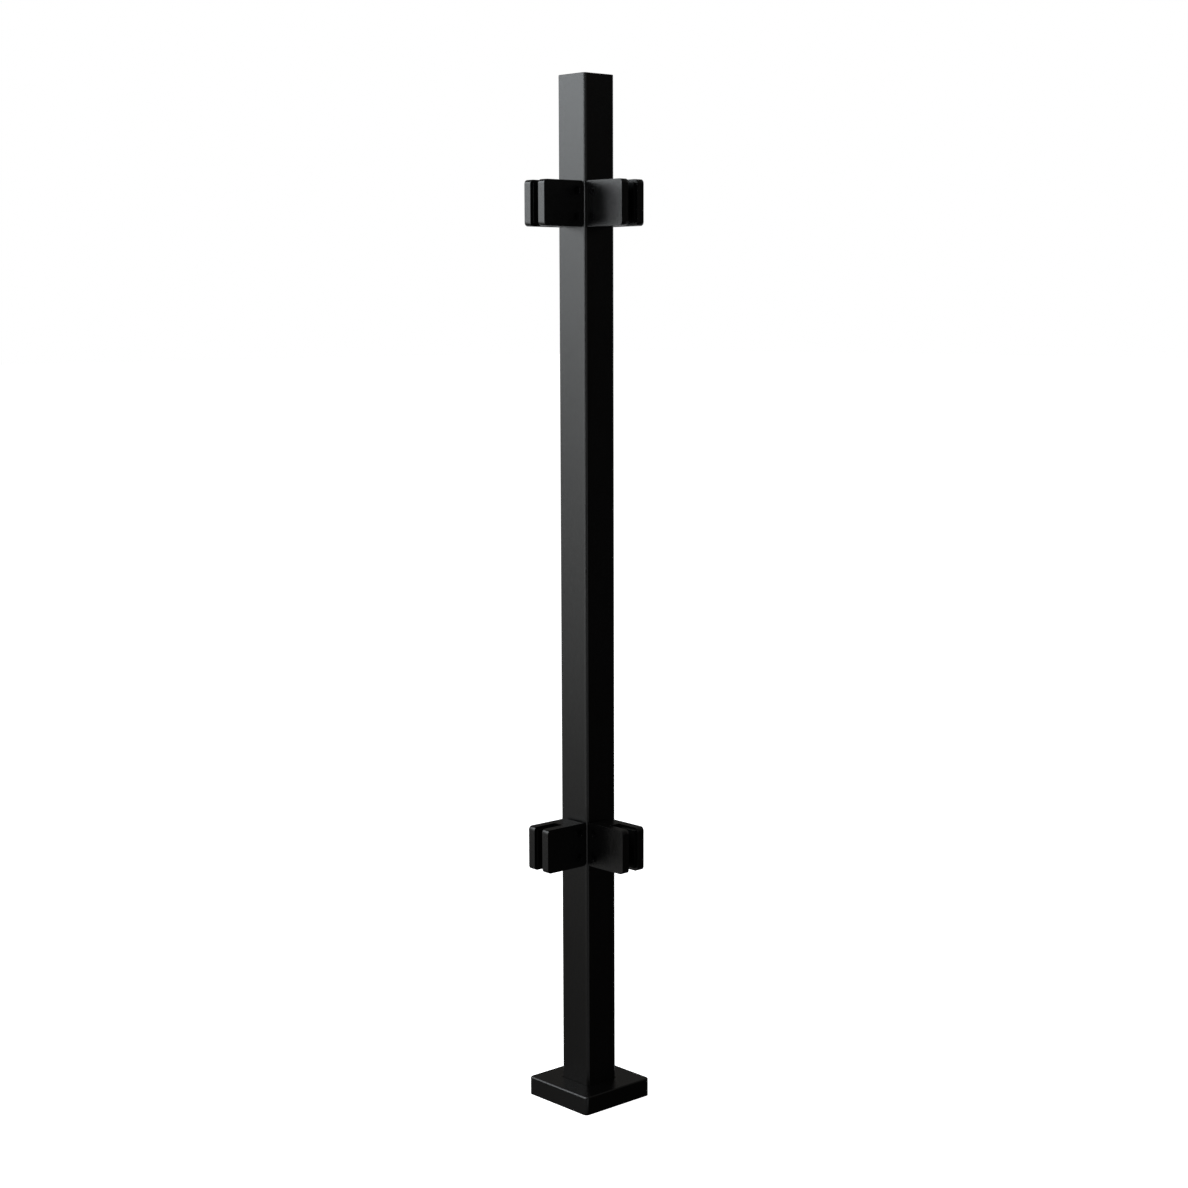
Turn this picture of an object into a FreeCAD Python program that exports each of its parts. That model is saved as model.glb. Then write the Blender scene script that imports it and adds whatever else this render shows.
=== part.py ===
import FreeCAD, Part
import math
import os

# Corner post for a glass railing, in millimetres, with +Z up.
# The origin is on the tube's axis at floor level, on the underside of the base plate.
# One pair of glass clamps sits on the +X face (right) and one pair on the -Y face (left).

V = FreeCAD.Vector
ORIGIN = V(0, 0, 0)
X_AXIS = V(1, 0, 0)
Y_AXIS = V(0, 1, 0)
Z_AXIS = V(0, 0, 1)

# Post tube
POST_SIDE = 40.0
POST_WALL = 2.0
POST_CORNER = 3.0
POST_HEIGHT = 1050.0

# Push-in cap
CAP_THICKNESS = 1.5
CAP_EDGE = 0.4
CAP_PLUG_DEPTH = 16.0
CAP_PLUG_WALL = 2.0
CAP_PLUG_GAP = 1.0
CAP_RIBS = 3
CAP_RIB_HEIGHT = 2.4
CAP_RIB_TOP = 2.0

# Base plate with a weld run along each side of the tube
PLATE_MARGIN = 21.0
PLATE_THICKNESS = 8.0
PLATE_CROP = 4.0
ANCHOR_HOLE = 11.0
ANCHOR_INSET = 11.0
WELD_LEG = 4.0

# Cover over the base plate
COVER_GAP = 2.25
COVER_WALL = 1.5
COVER_HEIGHT = 19.0
COVER_CORNER = 4.0
COVER_EDGE = 1.0
COVER_CLEARANCE = 0.3

# Glass clamps
CLAMP_HEIGHT = 45.0
ROOT_DEPTH = 24.5
SLOT_DEPTH = 27.5
SLOT_WIDTH = 12.0
JAW_THICKNESS = 8.7
CLAMP_CORNER = 4.0
CLAMP_SETBACK = 1.25
UPPER_CLAMP_DROP = 127.0
LOWER_CLAMP_RISE = 276.5

# Rubber pads in the jaws
GLASS_GAP = 8.4
PAD_POCKET = 1.0
PAD_RIM = 3.0
PAD_FROM_BOLT = 1.0
PAD_PLAY = 0.15

# Low-headed bolt that holds a clamp body to the tube, and the rivet nut it screws into
BOLT_DIAMETER = 6.0
BOLT_HEAD = 10.0
BOLT_HEAD_HEIGHT = 4.0
BOLT_KEY = 4.0
BOLT_KEY_DEPTH = 2.2
BOLT_TIP_INSET = 1.0
NUT_BARREL = 9.0
NUT_HEAD = 11.5
NUT_BULGE = 13.0
NUT_BULGE_LENGTH = 3.0
NUT_ROOM = 0.8

# Socket head screws that close the removable jaw
JAW_SCREW_DIAMETER = 4.0
JAW_SCREW_HEAD = 7.0
JAW_SCREW_HEAD_HEIGHT = 4.0
JAW_SCREW_RECESS = 0.5
JAW_SCREW_KEY = 3.0
JAW_SCREW_KEY_DEPTH = 2.0
JAW_SCREW_ENGAGED = 11.0
JAW_SCREW_FROM_POST = 9.75
JAW_SCREW_FROM_END = 10.0

# Clearances round fasteners, on each side
HEAD_CLEARANCE = 0.5
SHANK_CLEARANCE = 0.3
THREAD_CLEARANCE = 0.1
NUT_CLEARANCE = 0.1
HOLE_BOTTOM = 1.0

# How near an edge lies to a plane to count as being in it
IN_PLANE = 0.001

# Places that follow from the sizes above
post_face = POST_SIDE / 2
tube_bore = POST_SIDE - 2 * POST_WALL
plate_side = POST_SIDE + 2 * PLATE_MARGIN
cover_side = plate_side + 2 * (COVER_GAP + COVER_WALL)
anchor_pitch = plate_side - 2 * ANCHOR_INSET
clamp_length = ROOT_DEPTH + SLOT_DEPTH
clamp_thickness = SLOT_WIDTH + 2 * JAW_THICKNESS
upper_clamp_z = POST_HEIGHT - UPPER_CLAMP_DROP
lower_clamp_z = LOWER_CLAMP_RISE
pad_thickness = PAD_POCKET + (SLOT_WIDTH - GLASS_GAP) / 2

# Stations across a right-hand clamp, along Y, from its outer side to its far side
outer_y = CLAMP_SETBACK - post_face
parting_y = outer_y + JAW_THICKNESS
slot_y = parting_y + SLOT_WIDTH / 2
far_jaw_y = parting_y + SLOT_WIDTH
far_y = outer_y + clamp_thickness

# Stations along a right-hand clamp, along X, from the post outwards
slot_x = post_face + ROOT_DEPTH
pad_x = slot_x + BOLT_HEAD_HEIGHT + PAD_FROM_BOLT
end_x = post_face + clamp_length
nut_end_x = abs(slot_y) + NUT_BARREL / math.sqrt(3) + NUT_ROOM
jaw_screw_seat = JAW_SCREW_RECESS + JAW_SCREW_HEAD_HEIGHT
jaw_screw_x = post_face + JAW_SCREW_FROM_POST
jaw_screw_z = CLAMP_HEIGHT / 2 - JAW_SCREW_FROM_END


def rounded_wire(width, depth, radius, z=0.0):
    """Rounded rectangle in the XY plane, centred on Z, at height z."""
    a = width / 2
    b = depth / 2
    r = radius
    k = r * (1 - math.sqrt(0.5))
    corners = ((a, b), (-a, b), (-a, -b), (a, -b))
    starts = ((a, b - r), (-a + r, b), (-a, -b + r), (a - r, -b))
    ends = ((a - r, b), (-a, b - r), (-a + r, -b), (a, -b + r))
    edges = []
    for i in range(4):
        cx, cy = corners[i]
        mid = V(cx - math.copysign(k, cx), cy - math.copysign(k, cy), z)
        start = V(*starts[i], z)
        end = V(*ends[i], z)
        following = V(*starts[(i + 1) % 4], z)
        edges.append(Part.Arc(start, mid, end).toShape())
        edges.append(Part.LineSegment(end, following).toShape())
    return Part.Wire(edges)


def rounded_prism(side, radius, bottom, top):
    """Upright prism with a rounded square section, between two heights."""
    face = Part.Face(rounded_wire(side, side, radius, bottom))
    return face.extrude(V(0, 0, top - bottom))


def square_prism(side, bottom, top):
    """Upright prism with a sharp square section, between two heights."""
    return Part.makeBox(side, side, top - bottom, V(-side / 2, -side / 2, bottom))


def side_plate(x0, x1, height, radius, y0, y1):
    """Plate with a rounded outline in the XZ plane, centred on z = 0, from y0 to y1."""
    face = Part.Face(rounded_wire(x1 - x0, height, radius))
    face.rotate(ORIGIN, X_AXIS, 90)
    face.translate(V((x0 + x1) / 2, y0, 0))
    return face.extrude(V(0, y1 - y0, 0))


def edges_at(shape, axis, value):
    """Edges that lie wholly in the plane axis = value."""
    found = []
    for edge in shape.Edges:
        box = edge.BoundBox
        low = getattr(box, axis + "Min")
        high = getattr(box, axis + "Max")
        if abs(low - value) < IN_PLANE and abs(high - value) < IN_PLANE:
            found.append(edge)
    return found


def turned(points):
    """Solid of revolution about Z from (radius, height) points of its half section."""
    corners = [V(r, 0, h) for r, h in points]
    face = Part.Face(Part.makePolygon(corners + corners[:1]))
    return face.revolve(ORIGIN, Z_AXIS, 360)


def hexagon(across_flats, z):
    """Hexagon wire centred on Z at height z."""
    reach = across_flats / math.sqrt(3)
    corners = []
    for i in range(6):
        angle = math.radians(60 * i)
        corners.append(V(reach * math.cos(angle), reach * math.sin(angle), z))
    return Part.makePolygon(corners + corners[:1])


def hexagon_taper(low_size, low, high_size, high):
    """Six-sided solid between two heights, with its own size across flats at each."""
    return Part.makeLoft([hexagon(low_size, low), hexagon(high_size, high)], True, True)


def socket_screw(diameter, length, head, head_height, key, key_depth):
    """Screw on Z with a hexagon socket, whose head stands on the plane z = 0."""
    screw = turned((
        (0, head_height),
        (head / 2, head_height),
        (head / 2, 0),
        (diameter / 2, 0),
        (diameter / 2, -length),
        (0, -length),
    ))
    socket = Part.Face(hexagon(key, head_height)).extrude(V(0, 0, -key_depth))
    return screw.cut(socket)


def drilled(diameter, depth):
    """Space of a round hole on Z, from the plane z = 0 down to its depth."""
    return Part.makeCylinder(diameter / 2, depth, V(0, 0, -depth))


def make_tube():
    top = POST_HEIGHT - CAP_THICKNESS
    tube = rounded_prism(POST_SIDE, POST_CORNER, PLATE_THICKNESS, top)
    tube = tube.cut(square_prism(tube_bore, PLATE_THICKNESS, top))
    nut_hole = make_nut_hole()
    holes = [placed(nut_hole, height, turned_over) for _, height, turned_over in CLAMPS]
    return tube.cut(holes)


def make_cap():
    """Flat cap on a hollow plug, whose tapered ribs grip the inside of the tube."""
    seat = POST_HEIGHT - CAP_THICKNESS
    foot = seat - CAP_PLUG_DEPTH
    plug_side = tube_bore - 2 * CAP_PLUG_GAP
    lid = rounded_prism(POST_SIDE, POST_CORNER, seat, POST_HEIGHT)
    lid = lid.makeChamfer(CAP_EDGE, edges_at(lid, "Z", POST_HEIGHT))
    cap = lid.fuse(square_prism(plug_side, foot, seat))
    pitch = (CAP_PLUG_DEPTH - CAP_RIB_TOP) / CAP_RIBS
    for i in range(CAP_RIBS):
        land = seat - CAP_RIB_TOP - i * pitch
        rib = square_prism(tube_bore, land - CAP_RIB_HEIGHT, land)
        toe = edges_at(rib, "Z", land - CAP_RIB_HEIGHT)
        cap = cap.fuse(rib.makeChamfer(CAP_PLUG_GAP, toe))
    return cap.cut(square_prism(plug_side - 2 * CAP_PLUG_WALL, foot, seat)).removeSplitter()


def make_plate():
    """Base plate with cropped corners, anchor holes and the four weld runs that carry the tube."""
    crop = square_prism(math.sqrt(2) * (plate_side - PLATE_CROP), 0, PLATE_THICKNESS)
    crop.rotate(ORIGIN, Z_AXIS, 45)
    plate = square_prism(plate_side, 0, PLATE_THICKNESS).common(crop)
    for sx in (-1, 1):
        for sy in (-1, 1):
            centre = V(sx * anchor_pitch / 2, sy * anchor_pitch / 2, 0)
            plate = plate.cut(Part.makeCylinder(ANCHOR_HOLE / 2, PLATE_THICKNESS, centre))
    root = V(post_face, POST_CORNER - post_face, PLATE_THICKNESS)
    section = (root, root + X_AXIS * WELD_LEG, root + Z_AXIS * WELD_LEG, root)
    run = Part.Face(Part.makePolygon(section)).extrude(Y_AXIS * (POST_SIDE - 2 * POST_CORNER))
    runs = []
    for i in range(4):
        copy = run.copy()
        copy.rotate(ORIGIN, Z_AXIS, 90 * i)
        runs.append(copy)
    return plate.fuse(runs).removeSplitter()


def make_cover():
    """Drawn cover, open below, with a square hole that slides on the tube."""
    shell = rounded_prism(cover_side, COVER_CORNER, 0, COVER_HEIGHT)
    shell = shell.makeChamfer(COVER_EDGE, edges_at(shell, "Z", COVER_HEIGHT))
    inside = cover_side - 2 * COVER_WALL
    core = rounded_prism(inside, COVER_CORNER - COVER_WALL, 0, COVER_HEIGHT - COVER_WALL)
    window = square_prism(POST_SIDE + 2 * COVER_CLEARANCE, 0, COVER_HEIGHT)
    return shell.cut([core, window])


def make_clamp():
    """Body and removable jaw of a right-hand clamp, cut from one rounded block."""
    block = side_plate(post_face, end_x, CLAMP_HEIGHT, CLAMP_CORNER, outer_y, far_y)
    low = -CLAMP_HEIGHT / 2
    slot = Part.makeBox(SLOT_DEPTH, SLOT_WIDTH, CLAMP_HEIGHT, V(slot_x, parting_y, low))
    cuts = [slot]
    for wall, floor in pad_walls():
        pocket = pad_outline(0.0, floor, wall)
        cuts.append(pocket)
    bolt_hole = drilled(BOLT_DIAMETER + 2 * SHANK_CLEARANCE, ROOT_DEPTH)
    counterbore = drilled(JAW_SCREW_HEAD + 2 * HEAD_CLEARANCE, jaw_screw_seat)
    jaw_hole = drilled(JAW_SCREW_DIAMETER + 2 * SHANK_CLEARANCE, JAW_THICKNESS)
    tapped_hole = drilled(JAW_SCREW_DIAMETER + 2 * THREAD_CLEARANCE, JAW_SCREW_ENGAGED + HOLE_BOTTOM)
    cuts.append(along_slot(bolt_hole, slot_x))
    cuts += at_jaw_screws(counterbore.fuse(jaw_hole), outer_y)
    cuts += at_jaw_screws(tapped_hole, parting_y)
    block = block.cut(cuts)
    jaw_side = Part.makeBox(clamp_length, JAW_THICKNESS, CLAMP_HEIGHT, V(post_face, outer_y, low))
    body = block.cut(jaw_side).removeSplitter()
    jaw = block.common(jaw_side).removeSplitter()
    return body, jaw


def along_slot(shape, x):
    """A shape made on Z, laid along X in the middle of the slot, with its z = 0 at x."""
    shape.rotate(ORIGIN, Y_AXIS, 90)
    shape.translate(V(x, slot_y, 0))
    return shape


def at_jaw_screws(shape, y):
    """Copies of a shape made on Z, one at each jaw screw, facing out, with its z = 0 at y."""
    copies = []
    for z in (-jaw_screw_z, jaw_screw_z):
        copy = shape.copy()
        copy.rotate(ORIGIN, X_AXIS, 90)
        copy.translate(V(jaw_screw_x, y, z))
        copies.append(copy)
    return copies


def pad_walls():
    """Face of each jaw and the floor of its pad pocket, the removable jaw's first."""
    return (
        (parting_y, parting_y - PAD_POCKET),
        (far_jaw_y, far_jaw_y + PAD_POCKET),
    )


def pad_outline(play, y0, y1):
    """Plate that fills a pad pocket, less the play, between two stations along Y."""
    x0 = pad_x + play
    x1 = end_x - PAD_RIM - play
    height = CLAMP_HEIGHT - 2 * (PAD_RIM + play)
    corner = V(x0, min(y0, y1), -height / 2)
    return Part.makeBox(x1 - x0, abs(y1 - y0), height, corner)


def make_pads():
    """Rubber pads of a right-hand clamp: the removable jaw's, then the body's."""
    pads = []
    for wall, floor in pad_walls():
        face = floor + math.copysign(pad_thickness, wall - floor)
        pads.append(pad_outline(PAD_PLAY, floor, face))
    return pads


def make_bolt():
    """Bolt with its head on the floor of the slot."""
    length = slot_x - nut_end_x - BOLT_TIP_INSET
    bolt = socket_screw(
        BOLT_DIAMETER, length, BOLT_HEAD, BOLT_HEAD_HEIGHT, BOLT_KEY, BOLT_KEY_DEPTH
    )
    return along_slot(bolt, slot_x)


def make_nut():
    """Six-sided rivet nut after setting: a flush head, and a bulge that grips the wall inside."""
    foot = nut_end_x - post_face
    bulge_end = -POST_WALL - NUT_BULGE_LENGTH
    head = hexagon_taper(NUT_BARREL, -POST_WALL, NUT_HEAD, 0)
    bulge = hexagon_taper(NUT_BARREL, bulge_end, NUT_BULGE, -POST_WALL)
    barrel = hexagon_taper(NUT_BARREL, foot, NUT_BARREL, bulge_end)
    bore = drilled(BOLT_DIAMETER + 2 * THREAD_CLEARANCE, -foot)
    nut = head.fuse([bulge, barrel]).cut(bore).removeSplitter()
    return along_slot(nut, post_face)


def make_nut_hole():
    """Six-sided tapered hole through the tube wall for the head of a rivet nut."""
    inner = NUT_BARREL + 2 * NUT_CLEARANCE
    outer = NUT_HEAD + 2 * NUT_CLEARANCE
    return along_slot(hexagon_taper(inner, -POST_WALL, outer, 0), post_face)


def make_jaw_screws():
    """Screws of a right-hand clamp, with their heads in the jaw's counterbores."""
    length = JAW_THICKNESS - jaw_screw_seat + JAW_SCREW_ENGAGED
    screw = socket_screw(
        JAW_SCREW_DIAMETER,
        length,
        JAW_SCREW_HEAD,
        JAW_SCREW_HEAD_HEIGHT,
        JAW_SCREW_KEY,
        JAW_SCREW_KEY_DEPTH,
    )
    return at_jaw_screws(screw, outer_y + jaw_screw_seat)


def placed(shape, height, turned_over):
    """Copy of a right-hand clamp piece at a height, or turned over onto the left face."""
    copy = shape.copy()
    if turned_over:
        copy.rotate(ORIGIN, X_AXIS, 180)
        copy.rotate(ORIGIN, Z_AXIS, -90)
    copy.translate(V(0, 0, height))
    return copy


def save(name, shape):
    shape.exportStep(os.path.join("parts", name + ".step"))


# The same clamp is used on both faces: turned upside down, it fits the left one.
CLAMPS = (
    ("upper_right", upper_clamp_z, False),
    ("upper_left", upper_clamp_z, True),
    ("lower_right", lower_clamp_z, False),
    ("lower_left", lower_clamp_z, True),
)

os.makedirs("parts", exist_ok=True)

save("post_tube", make_tube())
save("top_cap", make_cap())
save("base_plate", make_plate())
save("base_cover", make_cover())

clamp_body, clamp_jaw = make_clamp()
jaw_pad, body_pad = make_pads()
bolt = make_bolt()
nut = make_nut()
jaw_screws = make_jaw_screws()

all_bolts = []
all_nuts = []
all_jaw_screws = []
for name, height, turned_over in CLAMPS:
    save(name + "_clamp_body", placed(clamp_body, height, turned_over))
    save(name + "_clamp_jaw", placed(clamp_jaw, height, turned_over))
    save(name + "_body_gasket", placed(body_pad, height, turned_over))
    save(name + "_jaw_gasket", placed(jaw_pad, height, turned_over))
    all_bolts.append(placed(bolt, height, turned_over))
    all_nuts.append(placed(nut, height, turned_over))
    for screw in jaw_screws:
        all_jaw_screws.append(placed(screw, height, turned_over))

save("clamp_bolts", Part.makeCompound(all_bolts))
save("rivet_nuts", Part.makeCompound(all_nuts))
save("jaw_screws", Part.makeCompound(all_jaw_screws))
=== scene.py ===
import math

import bpy
from mathutils import Matrix, Vector

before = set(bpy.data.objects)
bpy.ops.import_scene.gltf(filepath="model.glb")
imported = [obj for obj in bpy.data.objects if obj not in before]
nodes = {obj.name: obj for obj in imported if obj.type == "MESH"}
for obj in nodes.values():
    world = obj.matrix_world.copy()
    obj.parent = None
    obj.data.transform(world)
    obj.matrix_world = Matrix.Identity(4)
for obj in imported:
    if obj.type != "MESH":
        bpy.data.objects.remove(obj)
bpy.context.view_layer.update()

scene = bpy.context.scene


# Camera, fitted to the photograph's edges: degrees and metres, focal length in pixels of its frame
FRAME_PIXELS = 1188
SENSOR = 36.0
FOCAL_PIXELS = 2172.16
AZIMUTH = 47.7015
PITCH = 7.4224
ROLL = -0.1759
DISTANCE = 2.2195845
AIM_HEIGHT = 0.5312944
AIM_RIGHT = 0.0065831


def add_camera():
    a, e, r = (math.radians(v) for v in (AZIMUTH, PITCH, ROLL))
    back = Vector((math.sin(a) * math.cos(e), -math.cos(a) * math.cos(e), math.sin(e)))
    level = Vector((math.cos(a), math.sin(a), 0.0))
    rise = back.cross(level)
    right = level * math.cos(r) + rise * math.sin(r)
    up = rise * math.cos(r) - level * math.sin(r)
    place = Vector((0, 0, AIM_HEIGHT)) + level * AIM_RIGHT + back * DISTANCE
    camera = bpy.data.objects.new("camera", bpy.data.cameras.new("camera"))
    camera.data.sensor_width = SENSOR
    camera.data.lens = FOCAL_PIXELS * SENSOR / FRAME_PIXELS
    camera.matrix_world = Matrix((
        (right.x, up.x, back.x, place.x),
        (right.y, up.y, back.y, place.y),
        (right.z, up.z, back.z, place.z),
        (0, 0, 0, 1),
    ))
    scene.collection.objects.link(camera)
    scene.camera = camera


# Surfaces: wide clouds vary the colour and gloss a little, and a fine relief breaks up reflections
CLOUD_SCALE = 18.0
CLOUD_DETAIL = 3.0
CLOUD_RANGE = (0.3, 0.7)
RELIEF_DETAIL = 2.0
RELIEF_STRENGTH = 0.25


def new_material(name):
    material = bpy.data.materials.new(name)
    material.use_nodes = True
    tree = material.node_tree
    return material, tree, tree.nodes["Principled BSDF"]


def noise(tree, scale, detail):
    """Noise over the object's own coordinates, in metres."""
    coordinates = tree.nodes.new("ShaderNodeTexCoord")
    texture = tree.nodes.new("ShaderNodeTexNoise")
    texture.inputs["Scale"].default_value = scale
    texture.inputs["Detail"].default_value = detail
    tree.links.new(coordinates.outputs["Object"], texture.inputs["Vector"])
    return texture.outputs["Fac"]


def ramp(tree, value, low, high):
    """Colour that runs from low to high over the middle of the clouds' range."""
    mapped = tree.nodes.new("ShaderNodeValToRGB")
    for element, place, colour in zip(mapped.color_ramp.elements, CLOUD_RANGE, (low, high)):
        element.position = place
        element.color = (*colour, 1.0)
    tree.links.new(value, mapped.inputs["Fac"])
    return mapped.outputs["Color"]


def grey(value):
    return (value, value, value)


def bump(tree, shader, height, distance):
    node = tree.nodes.new("ShaderNodeBump")
    node.inputs["Distance"].default_value = distance
    node.inputs["Strength"].default_value = RELIEF_STRENGTH
    tree.links.new(height, node.inputs["Height"])
    tree.links.new(node.outputs["Normal"], shader.inputs["Normal"])


def finish_material(name, dark, light, roughness, relief_scale, relief_depth,
                    metallic=0.0, specular=0.5):
    """Surface with clouded colour and gloss, and a fine relief of its own scale."""
    material, tree, shader = new_material(name)
    shader.inputs["Metallic"].default_value = metallic
    shader.inputs["Specular IOR Level"].default_value = specular
    clouds = noise(tree, CLOUD_SCALE, CLOUD_DETAIL)
    relief = noise(tree, relief_scale, RELIEF_DETAIL)
    tree.links.new(ramp(tree, clouds, dark, light), shader.inputs["Base Color"])
    gloss = [grey(v) for v in roughness]
    tree.links.new(ramp(tree, clouds, *gloss), shader.inputs["Roughness"])
    bump(tree, shader, relief, relief_depth)
    return material


coat = finish_material(
    "black_powder_coat", (0.0004, 0.0004, 0.0004), (0.0010, 0.0010, 0.0011),
    roughness=(0.12, 0.15), relief_scale=3500.0, relief_depth=0.0005)
plastic = finish_material(
    "black_cap_plastic", (0.0006, 0.0006, 0.0006), (0.0014, 0.0014, 0.0015),
    roughness=(0.12, 0.15), relief_scale=3500.0, relief_depth=0.0005)
rubber = finish_material(
    "black_rubber", (0.0006, 0.0006, 0.0006), (0.0014, 0.0014, 0.0014),
    roughness=(0.32, 0.40), relief_scale=700.0, relief_depth=0.00008, specular=0.2)
oxide = finish_material(
    "black_oxide_steel", (0.0006, 0.0006, 0.0007), (0.0016, 0.0016, 0.0018),
    roughness=(0.22, 0.30), relief_scale=1600.0, relief_depth=0.00003, specular=0.25)
zinc = finish_material(
    "zinc_plated_steel", (0.42, 0.43, 0.44), (0.62, 0.62, 0.60),
    roughness=(0.28, 0.42), relief_scale=1200.0, relief_depth=0.00003, metallic=1.0)


def material_of(name):
    if name == "top_cap":
        return plastic
    if name in ("jaw_screws", "clamp_bolts"):
        return oxide
    if name == "rivet_nuts":
        return zinc
    if name.endswith("gasket"):
        return rubber
    return coat


# Small rounding on sharp edges, as a coat of paint or a tumbled edge gives, in metres
CLAMP_EDGE = 0.00035
SCREW_EDGE = 0.00025
COVER_EDGE = 0.00045
EDGE_SEGMENTS = 3
EDGE_ANGLE = math.radians(30.0)
WELD_REACH = 0.000002


def soften_edges(piece, width):
    weld = piece.modifiers.new("weld", "WELD")
    weld.merge_threshold = WELD_REACH
    bevel = piece.modifiers.new("edges", "BEVEL")
    bevel.width = width
    bevel.segments = EDGE_SEGMENTS
    bevel.limit_method = "ANGLE"
    bevel.angle_limit = EDGE_ANGLE
    bevel.harden_normals = True


for name, piece in nodes.items():
    piece.data.materials.clear()
    piece.data.materials.append(material_of(name))
    if "clamp_body" in name or "clamp_jaw" in name:
        soften_edges(piece, CLAMP_EDGE)
    if name == "jaw_screws":
        soften_edges(piece, SCREW_EDGE)
    if name == "base_cover":
        soften_edges(piece, COVER_EDGE)


# White floor that only the camera sees, so that it sends no light or reflection to the post
FLOOR_HALF = 30.0
FLOOR_ROUGHNESS = 0.9
FLOOR_GLOW = 1.0


def add_floor():
    half = FLOOR_HALF
    mesh = bpy.data.meshes.new("floor")
    corners = [(-half, -half, 0), (half, -half, 0), (half, half, 0), (-half, half, 0)]
    mesh.from_pydata(corners, [], [(0, 1, 2, 3)])
    plane = bpy.data.objects.new("floor", mesh)
    scene.collection.objects.link(plane)
    material, _, shader = new_material("pale_floor")
    shader.inputs["Base Color"].default_value = (0.8, 0.8, 0.8, 1)
    shader.inputs["Roughness"].default_value = FLOOR_ROUGHNESS
    shader.inputs["Emission Color"].default_value = (1, 1, 1, 1)
    shader.inputs["Emission Strength"].default_value = FLOOR_GLOW
    plane.data.materials.append(material)
    plane.visible_glossy = False
    plane.visible_diffuse = False
    plane.visible_shadow = False
    return plane


floor = add_floor()

# Wide panel in front of the left faces, of level strips that get brighter, bluer and wider upwards
PANEL_DISTANCE = 0.67
PANEL_FOOT = -0.75
PANEL_TOP = 1.75
PANEL_STRIPS = 20
PANEL_FACING = Vector((0, 1, 0))
# Left edge, then each column's right edge and its share of the strip's brightness
PANEL_LEFT = -1.3
PANEL_COLUMNS = ((-0.38, 0.95), (-0.07, 1.75), (0.15, 0.2), (0.35, 1.6))
# Least brightness, the height where it starts to rise and how fast it does
PANEL_DIM = 0.14
PANEL_KNEE = -0.39
PANEL_RISE = 1.48
# Height where the left edge starts to move out, and its slope
PANEL_WIDENS = 0.6
PANEL_SPREAD = 1.3
# Colour at floor level, and its change from there to the top
PANEL_COLOUR = (1.0, 1.0, 0.98)
PANEL_COOLING = (-0.09, -0.02, 0.05)


def softbox(name, centre, width, height, radiance, colour):
    """Area light that shows a given brightness when seen straight on."""
    light = bpy.data.lights.new(name, "AREA")
    light.shape = "RECTANGLE"
    light.size = width
    light.size_y = height
    light.energy = radiance * math.pi * width * height
    light.color = colour
    lamp = bpy.data.objects.new(name, light)
    lamp.location = centre
    lamp.rotation_euler = PANEL_FACING.to_track_quat("-Z", "Y").to_euler()
    lamp.visible_camera = False
    scene.collection.objects.link(lamp)


def add_panel():
    strip_height = (PANEL_TOP - PANEL_FOOT) / PANEL_STRIPS
    for i in range(PANEL_STRIPS):
        height = PANEL_FOOT + (i + 0.5) * strip_height
        radiance = math.hypot(PANEL_DIM, PANEL_RISE * max(height - PANEL_KNEE, 0.0) ** 2)
        cool = max(height, 0.0) / PANEL_TOP
        colour = [base + change * cool for base, change in zip(PANEL_COLOUR, PANEL_COOLING)]
        left = PANEL_LEFT - PANEL_SPREAD * max(height - PANEL_WIDENS, 0.0)
        for j, (right, share) in enumerate(PANEL_COLUMNS):
            centre = ((left + right) / 2, -PANEL_DISTANCE, height)
            softbox(f"panel_{i}_{j}", centre, right - left, strip_height, radiance * share, colour)
            left = right


add_panel()

# Room that lights the post, dark below and dim and warm above: place on the way from straight down
# to straight up, and colour there
ROOM_TONES = (
    (0.33, (0.012, 0.011, 0.010)),
    (0.55, (0.030, 0.029, 0.028)),
    (0.61, (0.094, 0.091, 0.086)),
    (0.91, (0.094, 0.091, 0.086)),
    (0.97, (0.450, 0.450, 0.450)),
)
# Faint glows that shape the sides off the panel. Two lie low on the diagonal through the camera,
# in front and behind, and three lie square to the faces and fade out towards the panel
GLOW_COLOUR = (0.96, 0.98, 1.0, 1)
DIAGONAL = math.sqrt(0.5)
LOW_GLOW_FADE = (-0.05, -0.2)
GLOW_BEHIND_CAMERA = 0.28
GLOW_BEHIND_POST = 0.85
SIDE_GLOW = 0.75
SIDE_GLOW_FADE = (-0.7, -0.3)
SQUARE_ON_PEAK = 0.25

world = bpy.data.worlds.new("studio")
scene.world = world
world.use_nodes = True
studio = world.node_tree
room = studio.nodes["Background"]
glow = studio.nodes.new("ShaderNodeBackground")
backdrop = studio.nodes.new("ShaderNodeBackground")
backdrop.inputs["Color"].default_value = (1, 1, 1, 1)
direction = studio.nodes.new("ShaderNodeTexCoord").outputs["Generated"]
axes = studio.nodes.new("ShaderNodeSeparateXYZ")
studio.links.new(direction, axes.inputs["Vector"])


def world_range(value, start, end, low, high):
    node = studio.nodes.new("ShaderNodeMapRange")
    settings = (("From Min", start), ("From Max", end), ("To Min", low), ("To Max", high))
    for name, number in settings:
        node.inputs[name].default_value = number
    studio.links.new(value, node.inputs["Value"])
    return node.outputs["Result"]


def combine(operation, a, b):
    node = studio.nodes.new("ShaderNodeMath")
    node.operation = operation
    studio.links.new(a, node.inputs[0])
    studio.links.new(b, node.inputs[1])
    return node.outputs["Value"]


def squared(value):
    return combine("MULTIPLY", value, value)


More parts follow.
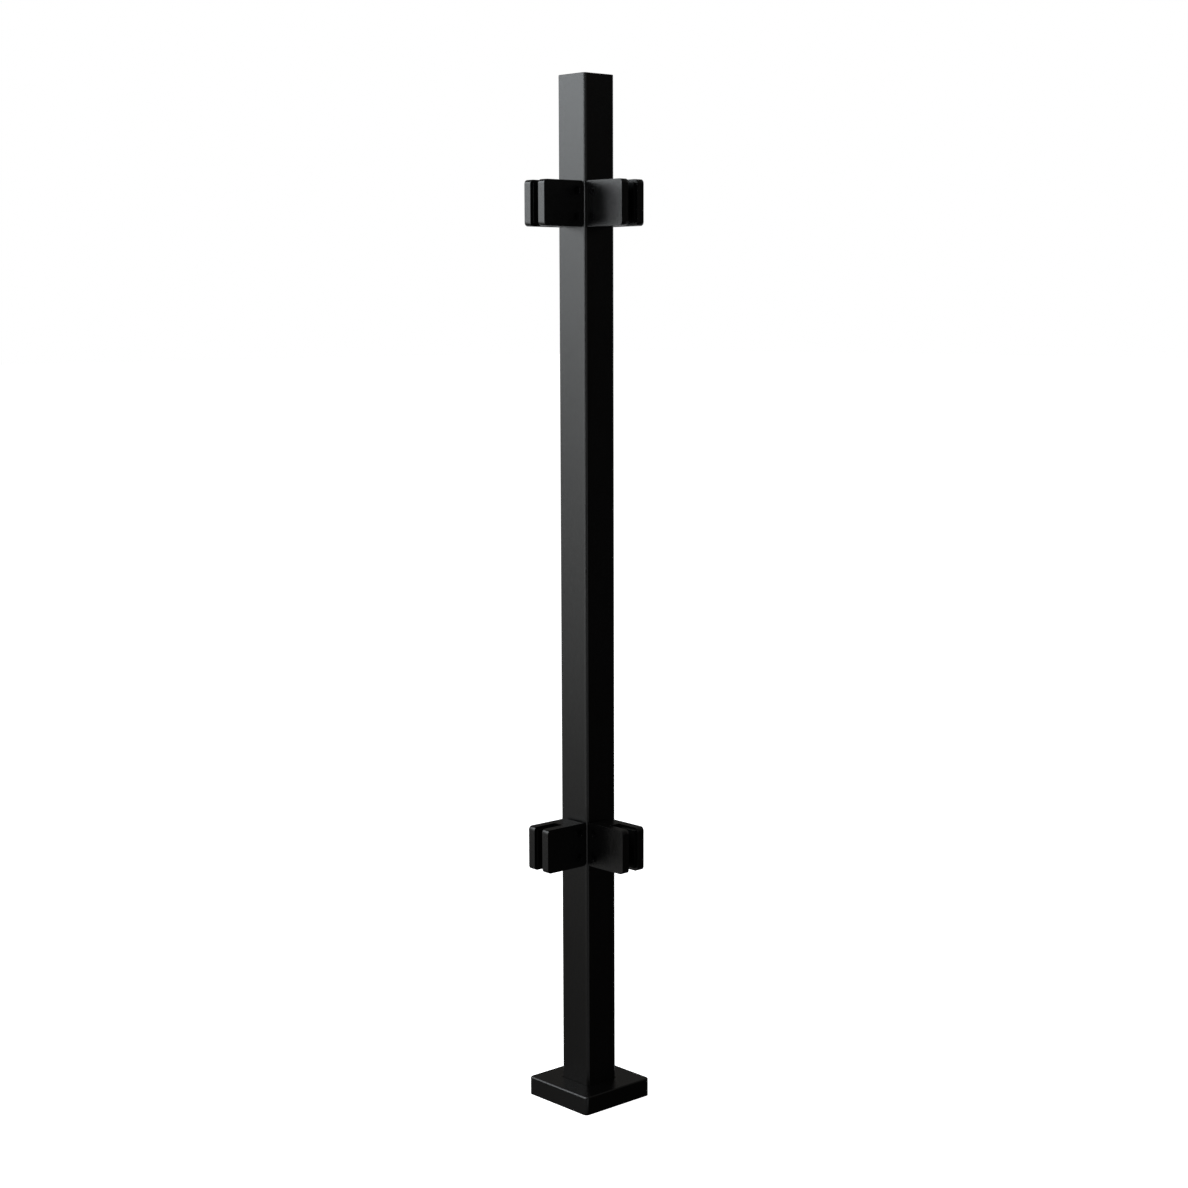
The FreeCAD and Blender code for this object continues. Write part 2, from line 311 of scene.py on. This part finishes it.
def along(x, y):
    node = studio.nodes.new("ShaderNodeVectorMath")
    node.operation = "DOT_PRODUCT"
    node.inputs[1].default_value = (x, y, 0.0)
    studio.links.new(direction, node.inputs[0])
    return node.outputs["Value"]


tones = studio.nodes.new("ShaderNodeValToRGB")
studio.links.new(world_range(axes.outputs["Z"], -1.0, 1.0, 0.0, 1.0), tones.inputs["Fac"])
elements = tones.color_ramp.elements
for place, _ in ROOM_TONES[len(elements):]:
    elements.new(place)
for element, (place, colour) in zip(elements, ROOM_TONES):
    element.position = place
    element.color = (*colour, 1.0)
studio.links.new(tones.outputs["Color"], room.inputs["Color"])

away = along(-DIAGONAL, DIAGONAL)
low = world_range(axes.outputs["Z"], *LOW_GLOW_FADE, 0.0, 1.0)
strength = world_range(away, -1.0, 1.0, GLOW_BEHIND_CAMERA, GLOW_BEHIND_POST)
corner_glow = combine("MULTIPLY", squared(squared(away)), combine("MULTIPLY", low, strength))
crossed = combine("MULTIPLY", squared(away), squared(along(DIAGONAL, DIAGONAL)))
square_on = squared(squared(world_range(crossed, 0.0, SQUARE_ON_PEAK, 0.0, 1.0)))
off_panel = world_range(axes.outputs["Y"], *SIDE_GLOW_FADE, 0.0, SIDE_GLOW)
side_glow = combine("MULTIPLY", square_on, off_panel)
studio.links.new(combine("ADD", corner_glow, side_glow), glow.inputs["Strength"])
glow.inputs["Color"].default_value = GLOW_COLOUR

# The camera itself sees plain white instead of the room
both = studio.nodes.new("ShaderNodeAddShader")
studio.links.new(room.outputs["Background"], both.inputs[0])
studio.links.new(glow.outputs["Background"], both.inputs[1])
path = studio.nodes.new("ShaderNodeLightPath")
choice = studio.nodes.new("ShaderNodeMixShader")
studio.links.new(path.outputs["Is Camera Ray"], choice.inputs["Fac"])
studio.links.new(both.outputs["Shader"], choice.inputs[1])
studio.links.new(backdrop.outputs["Background"], choice.inputs[2])
studio.links.new(choice.outputs["Shader"], studio.nodes["World Output"].inputs["Surface"])
scene.view_settings.view_transform = "Standard"

add_camera()
